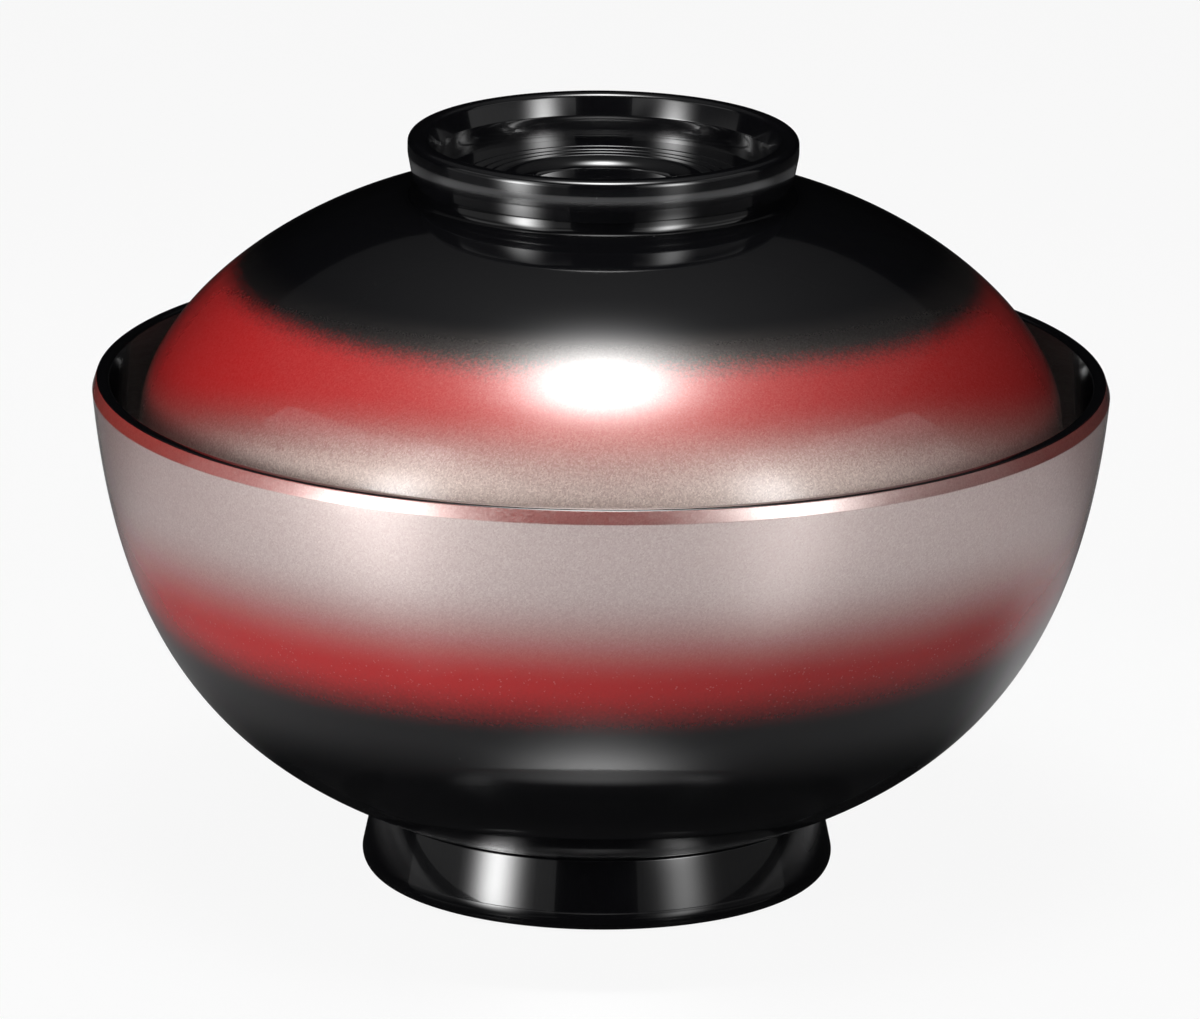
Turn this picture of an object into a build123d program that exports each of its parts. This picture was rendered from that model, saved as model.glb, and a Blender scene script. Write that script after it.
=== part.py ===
from build123d import *
import math
import os

# Lidded soup bowl. Four turned pieces share the Z axis: the bowl shell on its foot ring, and the
# lid shell under its grip ring. Millimetres, +Z up, origin at the centre of the foot's resting plane.

# Bowl shell
rim_radius = 63.65  # outside of the lip, before its edge is rounded
rim_height = 63.9  # top of the lip above the table
rim_wall = 2.2  # wall at the lip
rim_outer_round = 1.3
rim_inner_round = 0.6
wall_lean = 4.75  # degrees from upright, outside, at the lip
wall_pull = 30.1  # how far the outside holds that lean before it curves in
underside_slope = 21.75  # degrees above level where the outside meets the foot
underside_pull = 24.2
inside_lean = 11.5  # degrees from upright, inside, at the lip
inside_pull = 29.0
floor_height = 12.0  # inside floor on the axis, above the table
floor_pull = 50.0  # how far the inside floor stays level
boss_drop = 2.4  # boss below the foot's seat
boss_round = 0.5

# Foot ring
foot_height = 9.25  # table to the seat under the bowl
foot_top_radius = 28.15  # where it meets the bowl
foot_flare = 1.95  # how much wider its straight side would be at the table
foot_wall = 4.65  # ring wall where it meets the bowl
foot_outer_round = 2.4
foot_top_round = 0.4
foot_inner_round = 1.0

# Lid shell
lid_drop = 12.5  # lid edge below the bowl's lip
lid_gap = 0.1  # lid edge to the bowl's inner wall
skirt_height = 8.6  # straight part above the edge
skirt_lean = 7.0  # degrees from upright
lid_wall = 2.8
edge_round = 0.7
shoulder_pull = 11.0  # how far the dome holds the skirt's lean
dome_slope = 12.0  # degrees above level where the dome meets the grip
dome_pull = 17.0
lid_height = 35.6  # lid edge to the end of the dome at the grip
ceiling_height = 34.0  # lid edge to the underside of the dome on the axis
ceiling_pull = 38.0
ceiling_shoulder_pull = 10.0
grip_recess = 0.4  # seat for the grip, sunk below the dome
dish_depth = 0.8  # hollow of the boss inside the grip
dish_rise = 2.35  # rim of the boss above the grip's seat

# Grip ring
grip_height = 8.1  # seat to the top land
grip_base_radius = 24.2
grip_base_edge = 0.4  # upright edge of the base, in the recess
grip_cove_radius = 22.55  # top of the cove above the base
grip_cove_height = 1.9  # seat to the top of that cove
grip_neck = 0.9  # top of the cove to the underside of the lip
grip_neck_lean = 0.15  # how much narrower the neck is under the lip
grip_lip_radius = 24.34
grip_lip_taper = 0.6  # how much narrower the lip's lower edge is
grip_lip_upright = 2.15  # top land to where the taper starts
grip_lip_round = 0.9
grip_taper_round = 4.0  # between the upright part and the taper
grip_underlip_round = 0.3
grip_bore_radius = 21.0
grip_land = 1.3  # flat top, before its inner edge is rounded
grip_land_round = 0.8
grip_bevel = 2.6  # height of the bevel inside the lip
grip_bevel_run = 0.95  # width of that bevel

# Bonded fits: boss in ring bore, grip base in its recess
fit_gap = 0.05

# Worked out from the sizes above
foot_bore_radius = foot_top_radius - foot_wall
boss_radius = foot_bore_radius - fit_gap
boss_bottom = foot_height - boss_drop
lid_edge_height = rim_height - lid_drop
grip_seat_height = lid_edge_height + lid_height - grip_recess
dish_radius = grip_bore_radius - fit_gap
dish_rim_height = grip_seat_height + dish_rise


def heading(degrees):
    return math.cos(math.radians(degrees)), math.sin(math.radians(degrees))


def curve(start, start_heading, start_pull, end, end_heading, end_pull):
    # Smooth curve that leaves start along one heading and reaches end along another.
    out_r, out_z = heading(start_heading)
    in_r, in_z = heading(end_heading)
    return Bezier(
        start,
        (start[0] + start_pull * out_r, start[1] + start_pull * out_z),
        (end[0] - end_pull * in_r, end[1] - end_pull * in_z),
        end,
    )


def radius_at(meridian, height):
    # Radius of a meridian that climbs steadily from start to end, at one height.
    low = 0.0
    high = 1.0
    for _ in range(60):
        middle = (low + high) / 2
        if (meridian @ middle).Y < height:
            low = middle
        else:
            high = middle
    return (meridian @ low).X


def corner(face, point):
    return face.vertices().sort_by_distance(point)[0]


def turn(face):
    # Turn a half section, drawn as radius and height, about the Z axis.
    return revolve(Plane.XZ * face, Axis.Z, 360)


def bowl_inside():
    return curve(
        (0, floor_height), 0, floor_pull,
        (rim_radius - rim_wall, rim_height), 90 - inside_lean, inside_pull,
    )


def make_bowl_shell():
    lip_outside = (rim_radius, rim_height)
    lip_inside = (rim_radius - rim_wall, rim_height)
    seat_edge = (foot_top_radius, foot_height)
    boss_edge = (boss_radius, boss_bottom)
    outside = curve(
        lip_outside, -90 - wall_lean, wall_pull,
        seat_edge, -180 + underside_slope, underside_pull,
    )
    seat = Polyline(
        seat_edge,
        (boss_radius, foot_height),
        boss_edge,
        (0, boss_bottom),
        (0, floor_height),
    )
    lip = Line(lip_inside, lip_outside)
    section = make_face(outside + seat + bowl_inside() + lip)
    section = fillet(corner(section, lip_outside), rim_outer_round)
    section = fillet(corner(section, lip_inside), rim_inner_round)
    section = fillet(corner(section, boss_edge), boss_round)
    return turn(section)


def make_foot_ring():
    bore_top = (foot_bore_radius, foot_height)
    bore_foot = (foot_bore_radius, 0)
    lower_edge = (foot_top_radius + foot_flare, 0)
    top_edge = (foot_top_radius, foot_height)
    section = make_face(Polyline(bore_top, bore_foot, lower_edge, top_edge, bore_top))
    section = fillet(corner(section, bore_foot), foot_inner_round)
    section = fillet(corner(section, lower_edge), foot_outer_round)
    section = fillet(corner(section, top_edge), foot_top_round)
    return turn(section)


def make_lid_shell():
    edge_radius = radius_at(bowl_inside(), lid_edge_height) - lid_gap
    lean_r, lean_z = heading(90 + skirt_lean)
    skirt_length = skirt_height / lean_z
    shoulder = (edge_radius + skirt_length * lean_r, lid_edge_height + skirt_height)
    thickness = lid_wall / lean_z
    edge_outside = (edge_radius, lid_edge_height)
    edge_inside = (edge_radius - thickness, lid_edge_height)
    shoulder_inside = (shoulder[0] - thickness, shoulder[1])
    dome_end = (grip_base_radius, grip_seat_height + grip_recess)
    ceiling = (0, lid_edge_height + ceiling_height)
    dish = (0, dish_rim_height - dish_depth)
    skirt = Line(edge_outside, shoulder)
    dome = curve(shoulder, 90 + skirt_lean, shoulder_pull, dome_end, 180 - dome_slope, dome_pull)
    seat = Polyline(
        dome_end,
        (grip_base_radius, grip_seat_height),
        (dish_radius, grip_seat_height),
        (dish_radius, dish_rim_height),
    )
    dish_floor = TangentArc(dish, (dish_radius, dish_rim_height), tangent=(1, 0))
    axis = Line(dish, ceiling)
    underside = curve(
        ceiling, 0, ceiling_pull,
        shoulder_inside, -90 + skirt_lean, ceiling_shoulder_pull,
    )
    skirt_inside = Polyline(shoulder_inside, edge_inside, edge_outside)
    section = make_face(skirt + dome + seat + dish_floor + axis + underside + skirt_inside)
    section = fillet(corner(section, edge_outside), edge_round)
    section = fillet(corner(section, edge_inside), edge_round)
    return turn(section)


def make_grip_ring():
    seat = grip_seat_height
    top = seat + grip_height
    base_radius = grip_base_radius - fit_gap
    base_edge = (base_radius, seat + grip_base_edge)
    cove_top = (grip_cove_radius, seat + grip_cove_height)
    neck = (grip_cove_radius - grip_neck_lean, cove_top[1] + grip_neck)
    underlip = (grip_lip_radius - grip_lip_taper, neck[1])
    taper_start = (grip_lip_radius, top - grip_lip_upright)
    lip_top = (grip_lip_radius, top)
    land_inside = (grip_lip_radius - grip_lip_round - grip_land, top)
    bevel_foot = (land_inside[0] - grip_bevel_run, top - grip_bevel)
    floor_line = (grip_bore_radius, dish_rim_height)
    bore_foot = (grip_bore_radius, seat)
    shank = Line(neck, cove_top)
    cove = TangentArc(cove_top, base_edge, tangent=shank % 1)
    lip = Polyline(neck, underlip, taper_start, lip_top, land_inside, bevel_foot, floor_line)
    base = Polyline(floor_line, bore_foot, (base_radius, seat), base_edge)
    section = make_face(shank + cove + lip + base)
    section = fillet(corner(section, lip_top), grip_lip_round)
    section = fillet(corner(section, taper_start), grip_taper_round)
    section = fillet(corner(section, underlip), grip_underlip_round)
    section = fillet(corner(section, land_inside), grip_land_round)
    return turn(section)


pieces = {
    "bowl_shell": make_bowl_shell(),
    "foot_ring": make_foot_ring(),
    "lid_shell": make_lid_shell(),
    "grip_ring": make_grip_ring(),
}

os.makedirs("parts", exist_ok=True)
for name, solid in pieces.items():
    export_step(solid, f"parts/{name}.step")
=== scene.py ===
import math

import bmesh
import bpy
from mathutils import Matrix, Vector


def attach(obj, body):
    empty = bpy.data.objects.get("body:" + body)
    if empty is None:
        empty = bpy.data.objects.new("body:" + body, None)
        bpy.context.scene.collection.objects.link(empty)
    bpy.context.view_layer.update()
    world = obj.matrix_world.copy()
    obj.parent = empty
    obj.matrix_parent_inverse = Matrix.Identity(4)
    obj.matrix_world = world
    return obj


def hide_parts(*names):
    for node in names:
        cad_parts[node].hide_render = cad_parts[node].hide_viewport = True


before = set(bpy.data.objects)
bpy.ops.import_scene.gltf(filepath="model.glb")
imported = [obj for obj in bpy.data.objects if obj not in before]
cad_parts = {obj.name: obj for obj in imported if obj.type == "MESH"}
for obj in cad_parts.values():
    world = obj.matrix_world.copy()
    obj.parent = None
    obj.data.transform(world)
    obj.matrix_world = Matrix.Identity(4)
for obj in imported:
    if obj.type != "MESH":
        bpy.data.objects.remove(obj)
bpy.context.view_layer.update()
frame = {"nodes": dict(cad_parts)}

scene = bpy.context.scene
scene.view_settings.view_transform = "Standard"
mm = 0.001
print("frame:", ", ".join(frame["nodes"]))


class Wire:  # a socket in a node tree; sums on it add Math nodes
    def __init__(self, tree, socket=None):
        self.tree = tree
        self.socket = socket

    def node(self, kind, settings=None, sockets=None, output=0):
        made = self.tree.nodes.new(kind)
        for key, value in (settings or {}).items():
            setattr(made, key, value)
        for key, value in (sockets or {}).items():
            if isinstance(value, Wire):
                self.tree.links.new(value.socket, made.inputs[key])
            else:
                made.inputs[key].default_value = value
        return Wire(self.tree, made.outputs[output] if made.outputs else None)

    def out(self, output):  # another output of the same node
        return Wire(self.tree, self.socket.node.outputs[output])

    def sum(self, operation, first, second=0.0, third=0.0):
        return self.node("ShaderNodeMath", {"operation": operation}, {0: first, 1: second, 2: third})

    def __add__(self, other):
        return self.sum("ADD", self, other)

    def __sub__(self, other):
        return self.sum("SUBTRACT", self, other)

    def __mul__(self, other):
        return self.sum("MULTIPLY", self, other)

    def __truediv__(self, other):
        return self.sum("DIVIDE", self, other)

    def __rsub__(self, other):
        return self.sum("SUBTRACT", other, self)

    def __rtruediv__(self, other):
        return self.sum("DIVIDE", other, self)

    __radd__ = __add__
    __rmul__ = __mul__

    def step(self, low, high, before=0.0, after=1.0):  # smooth step from low to high
        return self.node("ShaderNodeMapRange", {"interpolation_type": "SMOOTHSTEP"},
                         {"Value": self, "From Min": low, "From Max": high, "To Min": before, "To Max": after})

    def tint(self, first, second):  # this mask carries the first colour over to the second
        return self.node("ShaderNodeMix", {"data_type": "RGBA"}, {0: self, 6: first, 7: second}, 2)

    def noise(self, place, scale, **more):
        return self.node("ShaderNodeTexNoise", None, {"Vector": place, "Scale": scale, **more})


def colour(red, green, blue):
    return (red, green, blue, 1.0)


def newFinish(name):
    finish = bpy.data.materials.new(name)
    finish.use_nodes = True
    finish.node_tree.nodes.clear()
    start = Wire(finish.node_tree)
    return finish, start, start.node("ShaderNodeTexCoord", output="Object")


shot = {
    "lens": 361.08, "sensor": 36.0,
    "away": 1506.6,  # mm, from the pivot
    "rise": 15.55,  # degrees above level
    "pivot": 47.38,  # height of the pivot, and of the point looked at
    "aim": 46.44,
    "tilt": 0.55,  # the picture leans a little
}


def placeCamera():
    rise = math.radians(shot["rise"])
    spot = Vector((0, -math.cos(rise), math.sin(rise))) * shot["away"] + Vector((0, 0, shot["pivot"]))
    look = Vector((0, 0, shot["aim"])) - spot
    turn = look.to_track_quat("-Z", "Y").to_matrix() @ Matrix.Rotation(math.radians(shot["tilt"]), 3, "Z")
    data = bpy.data.cameras.new("tableCamera")
    data.lens = shot["lens"]
    data.sensor_width = shot["sensor"]
    camera = bpy.data.objects.new("tableCamera", data)
    camera.matrix_world = Matrix.Translation(spot * mm) @ turn.to_4x4()
    scene.collection.objects.link(camera)
    scene.camera = camera


placeCamera()
print("camera placed")


# a meridian is a list of points, radius and height in mm
def aim(degrees):
    return Vector((math.cos(math.radians(degrees)), math.sin(math.radians(degrees))))


def bend(start, startAim, startPull, end, endAim, endPull, count=48):
    near = start + startAim * startPull
    far = end - endAim * endPull
    points = []
    for k in range(count + 1):
        t = k / count
        s = 1 - t
        points.append(s ** 3 * start + 3 * s * s * t * near + 3 * s * t * t * far + t ** 3 * end)
    return points


def arc(start, startAim, end, count=16):  # leaves along startAim
    chord = end - start
    side = Vector((-startAim.y, startAim.x))
    if side.dot(chord) < 0:
        side = -side
    lean = chord.angle(startAim)
    radius = chord.length / (2 * math.sin(lean))
    points = []
    for k in range(count + 1):
        turn = 2 * lean * k / count
        points.append(start + startAim * (radius * math.sin(turn)) + side * (radius * (1 - math.cos(turn))))
    return points


def line(*corners):
    return [Vector(corner) for corner in corners]


def cutEnd(points, length):
    kept = list(points)
    while (kept[-1] - kept[-2]).length <= length:
        length -= (kept[-1] - kept[-2]).length
        kept.pop()
    kept[-1] = kept[-1] + (kept[-2] - kept[-1]).normalized() * length
    return kept


def soften(first, second, radius, count=10):  # rounds the corner where second goes on from first
    back = first[-2] - first[-1]
    on = second[1] - second[0]
    corner = back.angle(on)
    cut = radius / math.tan(corner / 2)
    first = cutEnd(first, cut)
    second = cutEnd(second[::-1], cut)[::-1]
    leave = (first[-1] - first[-2]).normalized()
    join = (second[1] - second[0]).normalized()
    pull = radius * 4 / 3 * math.tan((math.pi - corner) / 4)
    return first[:-1] + bend(first[-1], leave, pull, second[0], join, pull, count) + second[1:]


def pathLength(points):
    return sum((b - a).length for a, b in zip(points, points[1:]))


# every piece is turned: its meridian is swept round the axis
lathe = {"steps": 320, "seam": 0.000002, "crease": 35.0}  # seam in m, crease in degrees


def latheTree():
    tree = bpy.data.node_groups.new("turnOnLathe", "GeometryNodeTree")
    sockets = {}
    for name, kind in (("Meridian", "Geometry"), ("Steps round", "Int"), ("Paint edge", "Float"),
                       ("Seam", "Float"), ("Crease", "Float"), ("Finish", "Material")):
        socket = tree.interface.new_socket(name, in_out="INPUT", socket_type="NodeSocket" + kind)
        sockets[name] = socket.identifier
    tree.interface.new_socket("Piece", in_out="OUTPUT", socket_type="NodeSocketGeometry")
    start = Wire(tree)
    given = start.node("NodeGroupInput")
    meridian = given.out("Meridian")
    steps = given.out("Steps round")
    rows = start.node("GeometryNodeAttributeDomainSize", {"component": "CURVE"}, {"Geometry": meridian})
    sheet = start.node("GeometryNodeMeshGrid", None, {"Vertices X": steps + 1, "Vertices Y": rows})
    index = start.node("GeometryNodeInputIndex")
    row = start.node("FunctionNodeIntegerMath", {"operation": "MODULO"}, {0: index, 1: rows})
    column = start.node("FunctionNodeIntegerMath", {"operation": "DIVIDE_FLOOR"}, {0: index, 1: rows})

    def read(kind, field):
        return start.node("GeometryNodeSampleIndex", {"data_type": kind, "domain": "POINT"},
                          {"Geometry": meridian, "Value": field, "Index": row})

    place = read("FLOAT_VECTOR", start.node("GeometryNodeInputPosition"))
    along = read("FLOAT", start.node("GeometryNodeSplineParameter", output="Length"))
    swung = start.node("ShaderNodeVectorRotate", {"rotation_type": "Z_AXIS"},
                       {"Vector": place, "Angle": column * (2 * math.pi) / steps})
    turned = start.node("GeometryNodeSetPosition", None, {"Geometry": sheet, "Position": swung})
    marked = start.node("GeometryNodeStoreNamedAttribute", {"data_type": "FLOAT", "domain": "POINT"},
                        {"Geometry": turned, "Name": "pastEdge", "Value": along - given.out("Paint edge")})
    closed = start.node("GeometryNodeMergeByDistance", None,
                        {"Geometry": marked, "Distance": given.out("Seam")})
    soft = start.node("GeometryNodeSetShadeSmooth", {"domain": "FACE"},
                      {"Geometry": closed, "Shade Smooth": True})
    fold = start.node("GeometryNodeInputMeshEdgeAngle")
    crisp = start.node("FunctionNodeCompare", {"data_type": "FLOAT", "operation": "GREATER_THAN"},
                       {"A": fold, "B": given.out("Crease")})
    creased = start.node("GeometryNodeSetShadeSmooth", {"domain": "EDGE"},
                         {"Geometry": soft, "Selection": crisp, "Shade Smooth": False})
    whole = start.node("GeometryNodeRealizeInstances", None, {"Geometry": creased})
    painted = start.node("GeometryNodeSetMaterial", None,
                         {"Geometry": whole, "Material": given.out("Finish")})
    start.node("NodeGroupOutput", None, {"Piece": painted})
    return tree, sockets


turningTree, turningSockets = latheTree()


def turnPiece(name, meridian, paintEdge, finish):
    data = bpy.data.curves.new(name + "Meridian", "CURVE")
    data.dimensions = "3D"
    spline = data.splines.new("POLY")
    spline.points.add(len(meridian) - 1)
    for point, spot in zip(spline.points, meridian):
        point.co = (spot.x * mm, 0, spot.y * mm, 1)
    blank = bpy.data.objects.new(name + "Meridian", data)
    scene.collection.objects.link(blank)
    modifier = blank.modifiers.new("turning", "NODES")
    modifier.node_group = turningTree
    values = {"Steps round": lathe["steps"], "Paint edge": paintEdge * mm, "Seam": lathe["seam"],
              "Crease": math.radians(lathe["crease"]), "Finish": finish}
    for key, value in values.items():
        modifier[turningSockets[key]] = value
    shapes = bpy.context.evaluated_depsgraph_get()
    mesh = bpy.data.meshes.new_from_object(blank.evaluated_get(shapes), preserve_all_data_layers=True,
                                           depsgraph=shapes)
    bpy.data.objects.remove(blank)
    mesh.materials.pop(index=0)  # the grid's own empty slot
    work = bmesh.new()
    work.from_mesh(mesh)
    bmesh.ops.recalc_face_normals(work, faces=work.faces)
    work.to_mesh(mesh)
    work.free()
    mesh.name = name
    piece = bpy.data.objects.new(name, mesh)
    scene.collection.objects.link(piece)
    print(name, len(mesh.polygons), "faces,", len(mesh.materials), "finish")
    return piece


spray = {
    "black": colour(0.0035, 0.0035, 0.0042),
    "coatRoughness": 0.025, "coatIor": 1.5,
    "roughness": 0.06, "mistRoughness": 0.05,  # of the plain lacquer, and what the mist adds
    "flakeSize": 0.17,  # mm
    "flakeSpread": 0.14,  # how much the flakes differ in roughness
    "strays": (0.975, 0.99), "strayCover": 0.2,  # single flakes outside the silver
    "wanderScale": 22.0, "mistScale": 2600.0,
    "mistFray": 3.2, "insideFray": 0.05, "bandFray": 0.12,  # mm, how soft these edges are
    "bandPolish": 0.12,  # the lip's band is smoother
    "sideShadeReach": 1e6,  # scales x to the fourth, in m
    "dustSpacing": 5.5, "dustSize": 0.11, "dustCover": 0.6, "dustRise": 0.8,
    "dust": colour(0.30, 0.29, 0.28),
    "peelScale": 160.0, "peelStrength": 0.10, "peelDepth": 0.00004,
}


def dust(start, place, spacing, size):  # 1 on sparse specks of dust under the top coat
    cells = start.node("ShaderNodeTexVoronoi", {"feature": "F1"},
                       {"Vector": place, "Scale": 1 / (spacing * mm), "Randomness": 1.0})
    pick = start.node("ShaderNodeSeparateColor", None, {"Color": cells.out("Color")})
    return cells.out("Distance").step(size / spacing, 0.4 * size / spacing) * pick.step(0.55, 0.6)


def sprayedFinish(name, zones):
    finish, start, place = newFinish(name)
    axes = start.node("ShaderNodeSeparateXYZ", None, {"Vector": place})
    wander = start.noise(place, spray["wanderScale"], Detail=2.0)
    mist = start.noise(place, spray["mistScale"], Detail=2.0, Roughness=0.7)
    height = axes.out("Z") * 1000 + (wander - 0.5) * zones["wander"]
    past = start.node("ShaderNodeAttribute", {"attribute_name": "pastEdge"}, output="Fac") * (1000 * zones["way"])

    grains = start.node("ShaderNodeTexVoronoi", {"feature": "F1"},
                        {"Vector": place, "Scale": 1000 / spray["flakeSize"], "Randomness": 1.0})
    grain = start.node("ShaderNodeSeparateColor", None, {"Color": grains.out("Color")})
    inside = past.step(-spray["insideFray"], spray["insideFray"])
    right = axes.step(*zones["rightShadeTurn"])
    wide = (axes * axes) * (axes * axes) * spray["sideShadeReach"]  # painted shade: less silver towards the two sides, which darkens them
    band = 0.0
    if zones["lipBand"]:
        band = past.step(-zones["lipBand"] - spray["bandFray"], -zones["lipBand"] + spray["bandFray"])

    # where the silver and the black lie, and how much flake covers the ground
    # painted shade: towards the two sides the silver reaches less far up and covers less
    silver = (height + wide * zones["sideShadeSag"]).step(zones["silverEnd"], zones["silverFull"])
    frayed = height + (mist - 0.5) * spray["mistFray"] + right * zones["blackTilt"]
    black = frayed.step(zones["blackEnd"], zones["blackFull"])
    thin = height.step(*zones["mistTurn"]) * zones["mist"]
    cover = thin + silver * (zones["cover"] - zones["mist"]) + (grain - 0.5) * (thin + silver) * zones["grain"]
    stray = grain.out("Green").step(*spray["strays"]) * (1 - black) * spray["strayCover"]
    cover = start.sum("MAXIMUM", cover, stray)
    cover = cover * (1 - band * zones["lipBare"]) * (1 - wide * zones["sideShadeBare"]) * (1 - inside)

    # painted shade: the red is a lit copy on the left and a darker, shaded copy on the right
    red = right.tint(zones["redLitLeft"], zones["redShadedRight"])
    ground = black.tint(silver.tint(red, zones["underSilver"]), spray["black"])
    # painted shade: the lip band is likewise darker on the right
    if zones["lipBand"]:
        ground = band.tint(ground, right.tint(zones["lipLitLeft"], zones["lipShadedRight"]))
    ground = inside.tint(ground, spray["black"])
    specks = dust(start, place, spray["dustSpacing"], spray["dustSize"])
    ground = (specks * spray["dustCover"]).tint(ground, spray["dust"])
    flake = grain.out("Blue").tint(zones["flakeDark"], zones["flakeLight"])
    flakeRough = (zones["mistRough"] + silver * (zones["flakeRough"] - zones["mistRough"])
                  + grain * spray["flakeSpread"] - band * spray["bandPolish"])

    peel = start.noise(place, spray["peelScale"], Detail=1.0)
    relief = start.node("ShaderNodeBump", None, {"Strength": spray["peelStrength"], "Distance": spray["peelDepth"],
                                                 "Height": peel + specks * spray["dustRise"]})
    common = {"Coat Weight": 1.0, "Coat Roughness": spray["coatRoughness"], "Coat IOR": spray["coatIor"],
              "Normal": relief}
    pigment = start.node("ShaderNodeBsdfPrincipled", None,
                         {"Base Color": ground, "IOR": 1.5, **common,
                          "Roughness": spray["roughness"] + mist * spray["mistRoughness"]})
    metal = start.node("ShaderNodeBsdfPrincipled", None,
                       {"Base Color": flake, "Metallic": 1.0, **common, "Roughness": flakeRough})
    body = start.node("ShaderNodeMixShader", None, {0: cover, 1: pigment, 2: metal})
    start.node("ShaderNodeOutputMaterial", None, {"Surface": body})
    return finish


rings = {
    "dark": colour(0.002, 0.002, 0.0026), "pale": colour(0.006, 0.006, 0.007), "cloudScale": 90.0,
    "roughness": 0.10, "cloudRoughness": 0.08, "ior": 1.52, "coatRoughness": 0.02, "coatIor": 1.55,
    "dustSpacing": 3.2, "dustSize": 0.13, "dustCover": 0.5, "dustRise": 1.5, "dust": colour(0.25, 0.25, 0.25),
    "peelScale": 420.0, "peelStrength": 0.16, "peelDepth": 0.00004,
}


def blackFinish():
    finish, start, place = newFinish("blackLacquer")
    cloud = start.noise(place, rings["cloudScale"], Detail=4.0)
    peel = start.noise(place, rings["peelScale"], Detail=2.0)
    specks = dust(start, place, rings["dustSpacing"], rings["dustSize"])
    ground = (specks * rings["dustCover"]).tint(cloud.tint(rings["dark"], rings["pale"]), rings["dust"])
    relief = start.node("ShaderNodeBump", None, {"Strength": rings["peelStrength"], "Distance": rings["peelDepth"],
                                                 "Height": peel + specks * rings["dustRise"]})
    body = start.node("ShaderNodeBsdfPrincipled", None,
                      {"Base Color": ground, "Roughness": rings["roughness"] + cloud * rings["cloudRoughness"],
                       "IOR": rings["ior"], "Coat Weight": 1.0, "Coat Roughness": rings["coatRoughness"],
                       "Coat IOR": rings["coatIor"], "Normal": relief})
    start.node("ShaderNodeOutputMaterial", None, {"Surface": body})
    return finish


# heights and bands in mm, the left-to-right turn in m; the red and the lip band are painted shade on the right, a
# darker copy for the weaker light from that side
bowlZones = {
    "way": 1,  # the paint edge is where the outside ends, going up
    "silverEnd": 40.5, "silverFull": 54.0, "blackEnd": 40.2, "blackFull": 33.0,
    "wander": 1.2, "sideShadeSag": 0.0, "sideShadeBare": 0.0175, "blackTilt": -0.6,
    "rightShadeTurn": (-0.05, 0.04), "redLitLeft": colour(0.63, 0.018, 0.02), "redShadedRight": colour(0.41, 0.012, 0.013),
    "cover": 0.90, "mist": 0.03, "mistTurn": (33.0, 40.2), "grain": 0.16,
    "flakeRough": 0.40, "mistRough": 0.40, "underSilver": colour(0.36, 0.10, 0.09),
    "flakeDark": colour(0.86, 0.72, 0.69), "flakeLight": colour(0.98, 0.86, 0.82),
    "lipBand": 1.65, "lipBare": 0.38, "lipLitLeft": colour(0.60, 0.05, 0.038), "lipShadedRight": colour(0.25, 0.04, 0.033),
}
lidZones = {
    "way": -1,  # the outside begins at the paint edge
    "silverEnd": 73.2, "silverFull": 63.0, "blackEnd": 74.9, "blackFull": 77.8,
    "wander": 0.8, "sideShadeSag": 0.7, "sideShadeBare": 0.0, "blackTilt": 1.2,
    "rightShadeTurn": (0.01, 0.05), "redLitLeft": colour(0.54, 0.016, 0.018), "redShadedRight": colour(0.30, 0.009, 0.010),
    "cover": 0.74, "mist": 0.15, "mistTurn": (80.5, 75.5), "grain": 0.16,
    "flakeRough": 0.56, "mistRough": 0.33, "underSilver": colour(0.26, 0.06, 0.052),
    "flakeDark": colour(0.68, 0.58, 0.53), "flakeLight": colour(0.95, 0.85, 0.78),
    "lipBand": 0.0, "lipBare": 0.0,
}
bowlFinish = sprayedFinish("sprayedBowl", bowlZones)
lidFinish = sprayedFinish("sprayedLid", lidZones)
ringFinish = blackFinish()
print("finishes mixed")


bowl = {
    "rimRadius": 63.65, "rimHeight": 63.9, "rimWall": 2.2, "rimInnerRound": 0.6,
    "wallLean": 4.75, "wallPull": 30.1, "undersideSlope": 21.75, "undersidePull": 24.2,
    "insideLean": 11.5, "insidePull": 29.0, "floorHeight": 12.0, "floorPull": 50.0,
    "bossRadius": 23.45, "bossBottom": 6.85, "bossRound": 0.5,
    "footHeight": 9.25, "footTopRadius": 28.15,
    "bandHeight": 1.7, "bandLean": 0.536, "bandCrease": 0.3, "bandTop": 0.45,  # the lip's copper band
    "crestBlack": 0.40,  # mm of black outside the flat of the lip
}


def bowlInside():
    lipInside = Vector((bowl["rimRadius"] - bowl["rimWall"], bowl["rimHeight"]))
    return bend(Vector((0, bowl["floorHeight"])), aim(0), bowl["floorPull"],
                lipInside, aim(90 - bowl["insideLean"]), bowl["insidePull"], 56)


def makeBowl():
    seatEdge = Vector((bowl["footTopRadius"], bowl["footHeight"]))
    bossEdge = Vector((bowl["bossRadius"], bowl["bossBottom"]))
    outside = bend(Vector((bowl["rimRadius"], bowl["rimHeight"])), aim(-90 - bowl["wallLean"]), bowl["wallPull"],
                   seatEdge, aim(-180 + bowl["undersideSlope"]), bowl["undersidePull"], 64)
    inside = bowlInside()
    boss = soften([Vector((0, bossEdge.y)), bossEdge], [bossEdge, Vector((bossEdge.x, seatEdge.y))],
                  bowl["bossRound"], 5)
    wall = boss + [seatEdge] + outside[::-1][1:]
    wall = cutEnd(wall, bowl["bandHeight"])
    bandTop = Vector((wall[-1].x - bowl["bandLean"], bowl["rimHeight"]))
    upToFlat = soften(wall, [wall[-1], bandTop], bowl["bandCrease"], 5)
    upToFlat = soften(upToFlat, [bandTop, inside[-1]], bowl["bandTop"], 8)
    paintEdge = pathLength(upToFlat[:-1]) - bowl["crestBlack"]
    meridian = soften(upToFlat, inside[::-1], bowl["rimInnerRound"], 8)
    piece = turnPiece("bowlShell", meridian, paintEdge, bowlFinish)
    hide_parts("bowl_shell")
    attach(piece, "bowl")


makeBowl()

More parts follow.
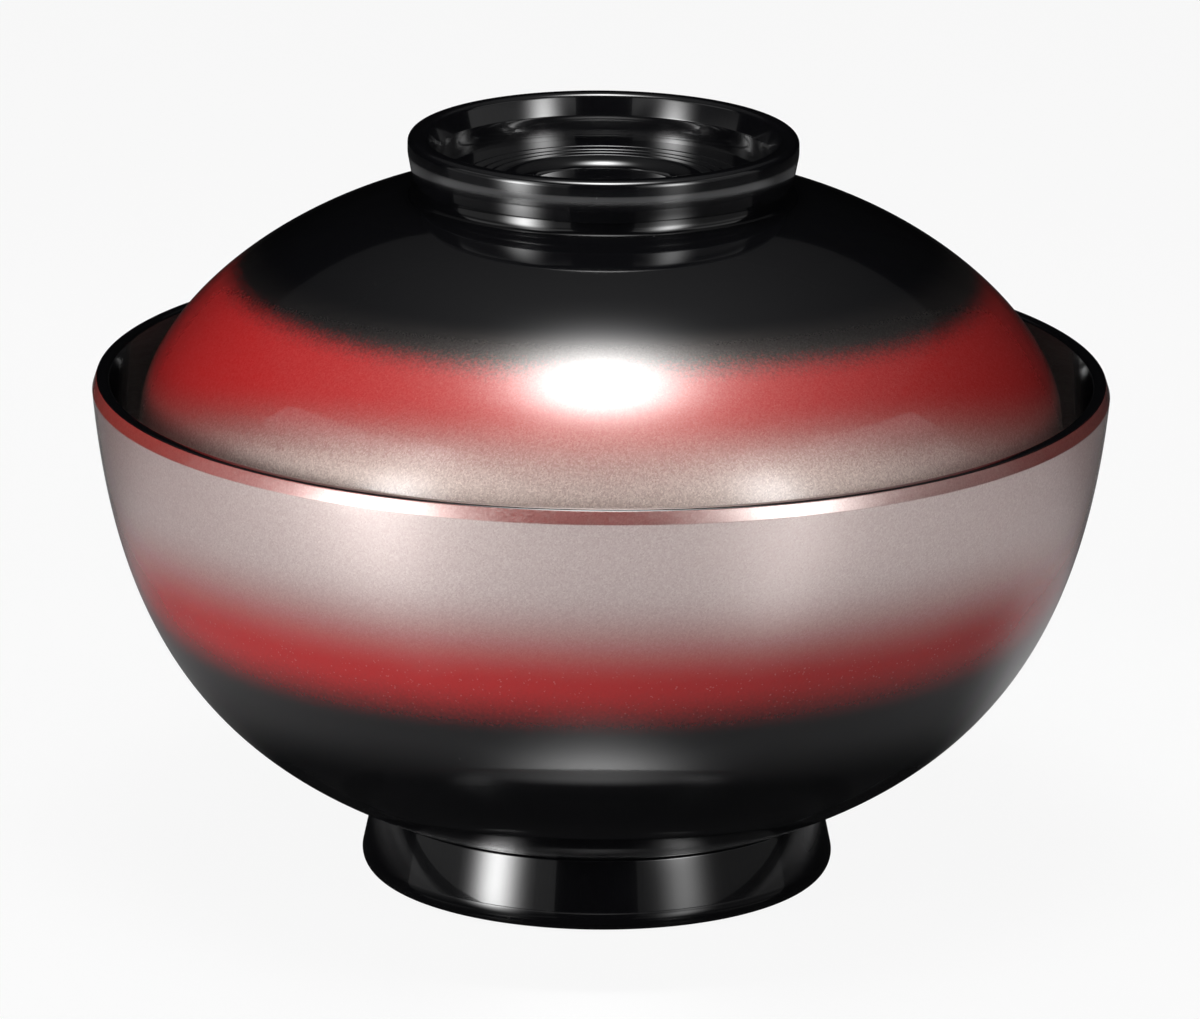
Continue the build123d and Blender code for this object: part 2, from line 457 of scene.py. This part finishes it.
foot = {
    "height": 9.25, "topRadius": 28.15, "flare": 1.95, "boreRadius": 23.5,
    "outerRound": 2.4, "topRound": 0.4, "boreRound": 1.0,
}


def makeFoot():
    boreTop = Vector((foot["boreRadius"], foot["height"]))
    boreFoot = Vector((foot["boreRadius"], 0))
    lowerEdge = Vector((foot["topRadius"] + foot["flare"], 0))
    topEdge = Vector((foot["topRadius"], foot["height"]))
    meridian = soften([boreTop, boreFoot], [boreFoot, lowerEdge], foot["boreRound"], 8)
    meridian = soften(meridian, [lowerEdge, topEdge], foot["outerRound"], 20)
    meridian = soften(meridian, [topEdge, boreTop], foot["topRound"], 8)
    piece = turnPiece("footRing", meridian, 0.0, ringFinish)
    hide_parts("foot_ring")
    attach(piece, "bowl")


makeFoot()

lid = {
    "edgeHeight": 51.4, "gap": 0.1, "skirtHeight": 8.6, "skirtLean": 7.0, "wall": 2.8, "edgeRound": 0.7,
    "shoulderPull": 11.0, "domeSlope": 12.0, "domePull": 17.0, "domeRadius": 24.2, "domeTop": 87.0,
    "seatHeight": 86.6, "ceilingHeight": 85.4, "ceilingPull": 38.0, "ceilingShoulderPull": 10.0,
    "dishRadius": 20.95, "dishRim": 88.95,  # the dish inside the grip
    "dishStep": 13.6, "stepPull": 1.2, "dishFloor": 11.2, "dishDepth": 1.3, "dishFall": 62.0, "fallPull": 0.8,
    "discRadius": 9.3, "discTop": 88.2, "discRound": 0.3, "discFall": 0.5,  # low disc in its middle
    "toolRings": (14.6, 16.0, 17.8), "toolDepth": 0.14, "toolWidth": 0.12,
}


def radiusInside(height):  # of the bowl's inner wall
    for low, high in zip(bowlInside(), bowlInside()[1:]):
        if low.y <= height <= high.y:
            return low.x + (high.x - low.x) * (height - low.y) / (high.y - low.y)


def lidDish():
    step = Vector((lid["dishStep"], lid["dishRim"]))
    floor = Vector((lid["dishFloor"], lid["dishRim"] - lid["dishDepth"]))
    discEdge = Vector((lid["discRadius"], lid["discTop"]))
    groove = Vector((discEdge.x + lid["discFall"], floor.y))
    disc = soften([Vector((0, discEdge.y)), discEdge], [discEdge, groove], lid["discRound"], 6)
    rise = bend(floor, aim(lid["dishFall"]), lid["fallPull"], step, aim(0), lid["stepPull"], 24)
    radii = [ring + lid["toolWidth"] * k / 4 for ring in lid["toolRings"] for k in range(-10, 11)]
    dish = disc + rise + [Vector((radius, step.y)) for radius in radii + [lid["dishRadius"]]]
    for spot in dish:  # faint grooves left by the turning tool
        for ring in lid["toolRings"]:
            spot.y -= lid["toolDepth"] * math.exp(-((spot.x - ring) / lid["toolWidth"]) ** 2)
    return dish


def makeLid():
    lean = aim(90 + lid["skirtLean"])
    edge = Vector((radiusInside(lid["edgeHeight"]) - lid["gap"], lid["edgeHeight"]))
    shoulder = edge + lean * (lid["skirtHeight"] / lean.y)
    inward = Vector((lid["wall"] / lean.y, 0))
    underside = bend(Vector((0, lid["ceilingHeight"])), aim(0), lid["ceilingPull"], shoulder - inward,
                     aim(-90 + lid["skirtLean"]), lid["ceilingShoulderPull"], 48)
    innerSkirt = underside + [edge - inward]
    dome = bend(shoulder, lean, lid["shoulderPull"], Vector((lid["domeRadius"], lid["domeTop"])),
                aim(180 - lid["domeSlope"]), lid["domePull"], 56)
    inner = soften(innerSkirt, [edge - inward, edge], lid["edgeRound"], 6)
    paintEdge = pathLength(inner)
    seat = line((lid["domeRadius"], lid["seatHeight"]), (lid["dishRadius"], lid["seatHeight"]))
    meridian = soften(inner, [edge] + dome, lid["edgeRound"], 6) + seat + lidDish()[::-1]
    piece = turnPiece("lidShell", meridian, paintEdge, lidFinish)
    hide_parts("lid_shell")
    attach(piece, "lid")


makeLid()

grip = {
    "seat": 86.6, "height": 8.1, "baseRadius": 24.15, "baseEdge": 0.4, "coveRadius": 22.55, "coveHeight": 1.9,
    "neck": 0.9, "neckLean": 0.15, "neckRound": 0.2, "lipRadius": 24.34, "lipTaper": 0.6, "lipUpright": 2.15,
    "lipRound": 0.9, "taperRound": 4.0, "underlipRound": 0.3, "boreRadius": 21.0, "land": 1.3, "landRound": 0.8,
    "bevel": 2.6, "bevelRun": 0.95, "dishRim": 88.95, "arris": 0.6,
}


def makeGrip():
    seat, top = grip["seat"], grip["seat"] + grip["height"]
    base = Vector((grip["baseRadius"], seat + grip["baseEdge"]))
    coveTop = Vector((grip["coveRadius"], seat + grip["coveHeight"]))
    neck = coveTop + Vector((-grip["neckLean"], grip["neck"]))
    underlip = Vector((grip["lipRadius"] - grip["lipTaper"], neck.y))
    taperStart = Vector((grip["lipRadius"], top - grip["lipUpright"]))
    lipTop = Vector((grip["lipRadius"], top))
    landInside = Vector((grip["lipRadius"] - grip["lipRound"] - grip["land"], top))
    bevelFoot = Vector((landInside.x - grip["bevelRun"], top - grip["bevel"]))
    floorLine = Vector((grip["boreRadius"], grip["dishRim"]))
    boreFoot = Vector((grip["boreRadius"], seat))
    cove = arc(coveTop, (coveTop - neck).normalized(), base, 14)[::-1]
    outside = line(boreFoot, (base.x, seat), base) + cove[1:] + [neck]
    outside = soften(outside, [neck, underlip], grip["neckRound"], 5)
    outside = soften(outside, [underlip, taperStart], grip["underlipRound"], 6)
    outside = soften(outside, [taperStart, lipTop], grip["taperRound"], 8)
    outside = soften(outside, [lipTop, landInside], grip["lipRound"], 10)
    outside = soften(outside, [landInside, bevelFoot], grip["landRound"], 10)
    outside = soften(outside, [bevelFoot, floorLine], grip["arris"], 6)
    piece = turnPiece("gripRing", outside + [boreFoot], 0.0, ringFinish)
    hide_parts("grip_ring")
    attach(piece, "lid")


makeGrip()

# two key lamps and two dim screens: bearing from the camera's side, distance, width, lower and upper
# edge in m, and glow; the rest is where each dims, as heights from its middle, then glow before and after
keyWidth = 0.095  # m, how fast a key lamp fades sideways
keyTop = 0.12  # share of a key's glow left at its upper edge
keyFoot = 0.24  # share of the right key's glow near the table
keys = {
    "leftKey": {"bearing": -50, "away": 0.85, "wide": 0.62, "low": 0.02, "high": 0.93, "glow": 11.0,
                "dims": [(-0.27, 0.17, 1.0, keyTop)]},
    "rightKey": {"bearing": 43, "away": 0.85, "wide": 0.62, "low": 0.02, "high": 0.93, "glow": 7.2,
                 "dims": [(-0.36, -0.18, keyFoot, 1.0), (-0.05, 0.30, 1.0, keyTop)]},
}
screens = {
    "leftWall": {"bearing": -61, "away": 1.0, "wide": 1.75, "low": 0.02, "high": 0.97, "glow": 0.16,
                 "dims": [(-0.15, 0.0, 1.0, 0.35)], "top": (0.10, 0.30, 0.0, 2.0)},
    "rightWall": {"bearing": 61, "away": 1.0, "wide": 1.75, "low": 0.02, "high": 0.97, "glow": 0.09,
                  "dims": [(-0.25, -0.12, 1.0, 2.4), (0.0, 0.12, 1.0, 0.2)], "top": (0.10, 0.30, 0.0, 3.4)},
}
overhead = {"spot": (-0.04, 0.33, 0.62), "size": (1.4, 1.02), "glow": 0.27, "fade": 0.3}
spark = {"spot": (0.0, -0.11, 0.60), "size": (0.6, 0.6), "glow": 17.0, "fade": 0.078}


def lamp(name, spot, facing, size, glow, fade):
    data = bpy.data.lights.new(name, "AREA")
    data.shape = "RECTANGLE"
    data.size, data.size_y = size
    data.energy = glow * math.pi * size[0] * size[1]
    data.use_nodes = True
    data.node_tree.nodes.clear()
    start = Wire(data.node_tree)
    across = start.node("ShaderNodeNewGeometry", output="Parametric")
    axes = start.node("ShaderNodeSeparateXYZ", None, {"Vector": across})
    share = fade(start, (axes - 0.5) * size[0], (axes.out("Y") - 0.5) * size[1])
    beam = start.node("ShaderNodeEmission", None, {"Strength": share})
    start.node("ShaderNodeOutputLight", None, {"Surface": beam})
    light = bpy.data.objects.new(name, data)
    light.matrix_world = Matrix.Translation(spot) @ facing.to_track_quat("-Z", "Y").to_matrix().to_4x4()
    light.visible_camera = False
    scene.collection.objects.link(light)


def bell(start, square, width):
    return start.sum("EXPONENT", square * (-0.5 / width ** 2))


def standing(name, box, fade):
    flat = Vector((math.sin(math.radians(box["bearing"])), -math.cos(math.radians(box["bearing"])), 0))
    spot = flat * box["away"] + Vector((0, 0, (box["low"] + box["high"]) / 2))
    lamp(name, spot, -flat, (box["wide"], box["high"] - box["low"]), box["glow"], fade)


def dimmed(y, dims):
    share = y.step(*dims[0])
    for dim in dims[1:]:
        share = share * y.step(*dim)
    return share


def lightStudio():
    for name, box in keys.items():
        standing(name, box, lambda start, x, y: bell(start, x * x, keyWidth) * dimmed(y, box["dims"]))
    for name, box in screens.items():
        standing(name, box, lambda start, x, y: dimmed(y, box["dims"]) + y.step(*box["top"]))
    # the sheet overhead is lit from behind by the spark, and dims away from it
    off = Vector(overhead["spot"]) - Vector(spark["spot"])

    def sheetFade(start, x, y):
        square = (x + off.x) * (x + off.x) + (y + off.y) * (y + off.y)
        return 1 / (1 + square / overhead["fade"] ** 2)

    down = Vector((0, 0, -1))
    lamp("overheadBox", Vector(overhead["spot"]), down, overhead["size"], overhead["glow"], sheetFade)
    lamp("overheadSpark", Vector(spark["spot"]), down, spark["size"], spark["glow"],
         lambda start, x, y: bell(start, x * x + y * y, spark["fade"]))


def stageMesh(name, finish, build):
    mesh = bpy.data.meshes.new(name)
    work = bmesh.new()
    build(work)
    work.to_mesh(mesh)
    work.free()
    mesh.materials.append(finish)
    thing = bpy.data.objects.new(name, mesh)
    scene.collection.objects.link(thing)
    return thing


table = {"half": 9.0, "sink": 0.0004, "glow": 0.91, "dull": colour(0.86, 0.86, 0.86), "clean": colour(0.90, 0.90, 0.90)}


def tableFinish():
    finish, start, place = newFinish("paleTable")
    path = start.node("ShaderNodeLightPath", output="Is Camera Ray")
    seen = start.sum("MAXIMUM", path, path.out("Is Glossy Ray"))
    seen = start.sum("MAXIMUM", seen, path.out("Is Transmission Ray"))
    cloud = start.noise(place, 9.0, Detail=3.0)
    matt = start.node("ShaderNodeBsdfDiffuse", None, {"Color": cloud.tint(table["dull"], table["clean"])})
    white = start.node("ShaderNodeEmission", None, {"Color": colour(1, 1, 1), "Strength": 1.0})
    top = start.node("ShaderNodeMixShader", None, {0: seen * table["glow"], 1: matt, 2: white})
    # from below the table is looked through, so the foot can be seen
    below = start.node("ShaderNodeNewGeometry", output="Backfacing") * path
    clear = start.node("ShaderNodeBsdfTransparent")
    whole = start.node("ShaderNodeMixShader", None, {0: below, 1: top, 2: clear})
    start.node("ShaderNodeOutputMaterial", None, {"Surface": whole})
    return finish


def drapeFinish():
    finish, start, place = newFinish("blackDrape")
    fold = start.noise(place, 6.0)
    cloth = start.node("ShaderNodeBsdfDiffuse", None,
                       {"Color": fold.tint(colour(0.006, 0.006, 0.006), colour(0.012, 0.012, 0.013))})
    start.node("ShaderNodeOutputMaterial", None, {"Surface": cloth})
    return finish


# painted light and painted shadow on the plate: pale patches where the table is lit, dark under the bowl where its
# shadow falls; as distances in m where each begins and ends, then its strength
plate = {
    "radius": 2.2, "sink": 0.0002, "roughness": 0.04, "ior": 1.8, "edge": (0.36, 0.27),
    "dark": colour(0.04, 0.04, 0.042), "pale": colour(0.86, 0.86, 0.87),
    "near": (0.046, 0.064, 0.0, 0.27), "nearRight": (-0.06, 0.06, 1.0, 0.7),
    "far": (0.10, 0.16, 0.0, 0.70), "farBack": (0.14, 0.04),
    "rear": (0.05, 0.07, 0.0, 0.45), "rearEnd": (0.16, 0.10), "rearRight": (0.02, 0.07), "rearBack": (-0.01, 0.04),
    "pool": (0.050, 0.053), "poolEnd": (0.085, 0.055), "poolWidth": 0.010, "poolFront": (0.0, -0.02), "poolGlow": 0.45,
}


def plateFinish():
    finish, start, place = newFinish("greyPlate")
    axes = start.node("ShaderNodeSeparateXYZ", None, {"Vector": place})
    back = axes.out("Y")
    reach = start.node("ShaderNodeVectorMath", {"operation": "LENGTH"}, {0: place}, "Value")
    near = reach.step(*plate["near"]) * axes.step(*plate["nearRight"])
    far = reach.step(*plate["far"]) * back.step(*plate["farBack"])
    rear = (reach.step(*plate["rear"]) * reach.step(*plate["rearEnd"]) * axes.step(*plate["rearRight"])
            * back.step(*plate["rearBack"]))
    # painted shadow under the bowl and painted light on the table around it
    shade = ((near + far + rear) * reach.step(*plate["edge"])).tint(plate["dark"], plate["pale"])
    # the pool of light in front of the foot
    pool = (bell(start, axes * axes, plate["poolWidth"]) * reach.step(*plate["pool"])
            * reach.step(*plate["poolEnd"]) * back.step(*plate["poolFront"]))
    body = start.node("ShaderNodeBsdfPrincipled", None,
                      {"Base Color": shade, "Roughness": plate["roughness"], "IOR": plate["ior"],
                       "Emission Color": colour(1, 1, 1), "Emission Strength": pool * plate["poolGlow"]})
    start.node("ShaderNodeOutputMaterial", None, {"Surface": body})
    return finish


def buildStage():
    # a glossy grey plate under the bowl, seen only in the lacquer
    disc = stageMesh("plate", plateFinish(), lambda work: bmesh.ops.create_circle(
        work, cap_ends=True, segments=64, radius=plate["radius"]))
    disc.visible_camera = False
    disc.visible_shadow = False
    disc.location.z = -plate["sink"]
    top = stageMesh("table", tableFinish(), lambda work: bmesh.ops.create_grid(
        work, x_segments=1, y_segments=1, size=table["half"]))
    top.location.z = -table["sink"]
    # dark cloth round the set, so the lacquer mirrors only the lamps and the table
    drape = stageMesh("drape", drapeFinish(), lambda work: bmesh.ops.create_cone(
        work, cap_ends=True, segments=48, radius1=2.0, radius2=2.0, depth=4.0))
    drape.visible_camera = False
    world = bpy.data.worlds.new("whiteStudio")
    world.use_nodes = True
    world.node_tree.nodes["Background"].inputs["Color"].default_value = colour(1, 1, 1)
    world.node_tree.nodes["Background"].inputs["Strength"].default_value = 1.0
    world.cycles.sampling_method = "NONE"
    scene.world = world


lightStudio()
buildStage()
print("studio set")
